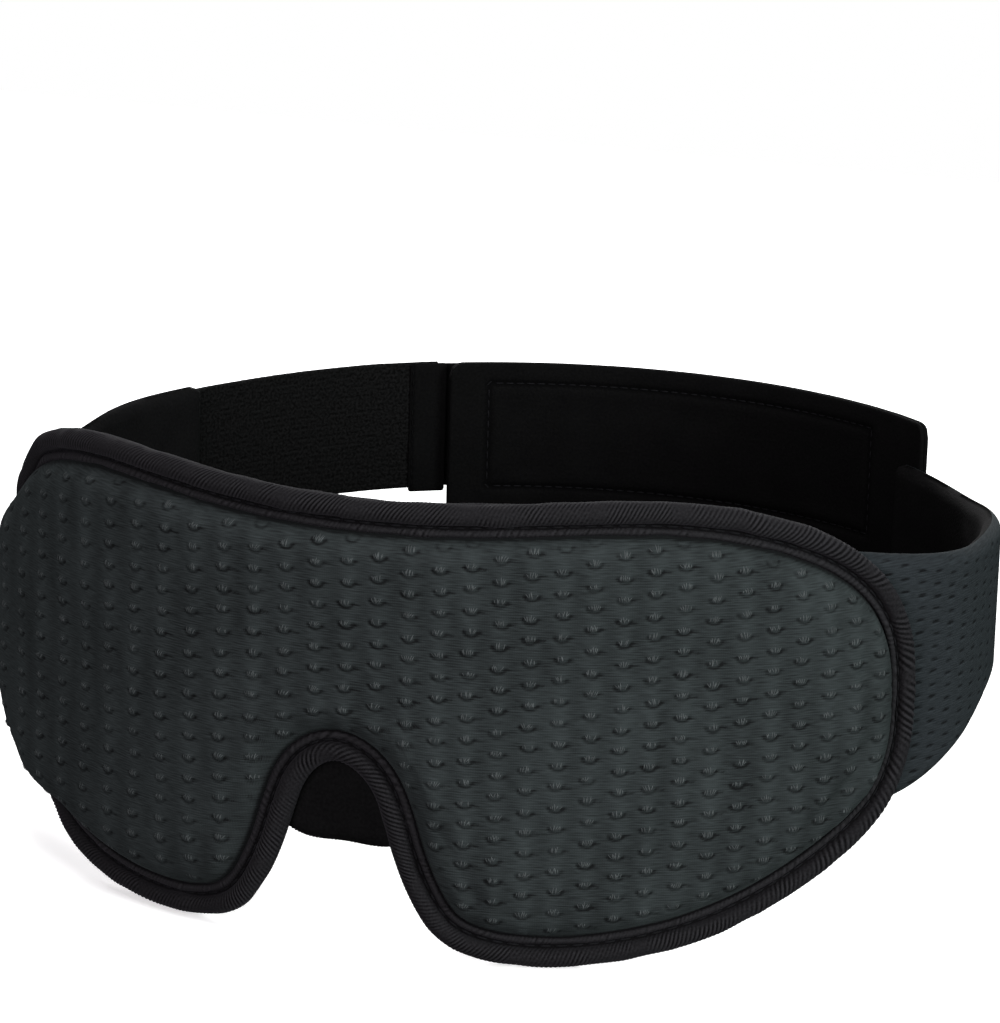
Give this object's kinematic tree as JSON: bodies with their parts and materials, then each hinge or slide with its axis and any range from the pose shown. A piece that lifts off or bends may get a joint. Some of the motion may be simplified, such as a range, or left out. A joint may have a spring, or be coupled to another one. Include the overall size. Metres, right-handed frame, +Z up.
{
  "type": "sleep eye mask",
  "caption": "Contoured dark sleep eye mask: padded dimpled front with bound edge, eye cavities, nose flap, two wings and a hook-and-loop elastic head strap.",
  "frame": {"origin": "under the middle of the object's box, on the surface that the mask's two lower lobes stand on", "axes": "+Z up, -Y the way the mask's face looks, +X to the right of someone facing the mask"},
  "size_m": [0.2008, 0.2048, 0.0907],
  "materials": {
    "knit": "matte",
    "foam": "matte",
    "lining": "matte",
    "tape": "matte",
    "thread": "matte",
    "elastic": "matte",
    "webbing": "matte",
    "hooks": "matte",
    "loops": "matte"
  },
  "bodies": {
    "mask": {"face_fabric": "knit", "foam_core": "foam", "inner_lining": "lining", "left_eye_cup": "lining", "right_eye_cup": "lining", "edge_binding": "tape", "binding_thread": "thread", "nose_flap_hem": "lining", "left_wing_hem": "lining", "right_wing_hem": "lining"},
    "nose_flap": {"nose_flap_cover": "lining", "nose_flap_foam": "foam"},
    "left_wing": {"left_wing_fabric": "knit", "left_wing_foam": "foam", "left_wing_lining": "lining", "elastic_strap": "elastic", "elastic_seam": "thread"},
    "strap_end": {"tab_root": "webbing", "tab_seam": "thread"},
    "tab": {"hook_tab": "webbing", "hook_pad": "hooks"},
    "right_wing": {"right_wing_fabric": "knit", "right_wing_foam": "foam", "right_wing_lining": "lining", "strap_panel": "webbing", "strap_panel_lining": "webbing", "loop_patch": "loops", "patch_thread": "thread", "panel_seam": "thread"}
  },
  "joints": [
    {"name": "nose_flap_flex", "type": "hinge", "parent": "mask", "child": "nose_flap", "pos_m": [0, -0.09415, 0.0406], "axis": [1, 0, 0], "range_deg": [0, 40], "stiffness_Nm_per_rad": 0.01},
    {"name": "left_wing_fold", "type": "hinge", "parent": "mask", "child": "left_wing", "pos_m": [-0.09515, -0.04037, 0.053], "axis": [0, 0, 1], "range_deg": [0, 75], "stiffness_Nm_per_rad": 0.05},
    {"name": "right_wing_fold", "type": "hinge", "parent": "mask", "child": "right_wing", "pos_m": [0.09515, -0.04037, 0.053], "axis": [0, 0, -1], "range_deg": [0, 45]},
    {"name": "strap_stretch", "type": "hinge", "parent": "left_wing", "child": "strap_end", "pos_m": [0, 0.00672, 0.059], "axis": [0, 0, -1], "range_deg": [0, 15], "stiffness_Nm_per_rad": 0.5, "deforming": ["elastic_strap"]},
    {"name": "tab_peel", "type": "hinge", "parent": "strap_end", "child": "tab", "pos_m": [-0.05489, 0.08539, 0.059], "axis": [0, 0, 1], "range_deg": [0, 140]}
  ],
  "couplings": [
    {"joint": "right_wing_fold", "follows": "left_wing_fold", "ratio": 0.6}
  ]
}
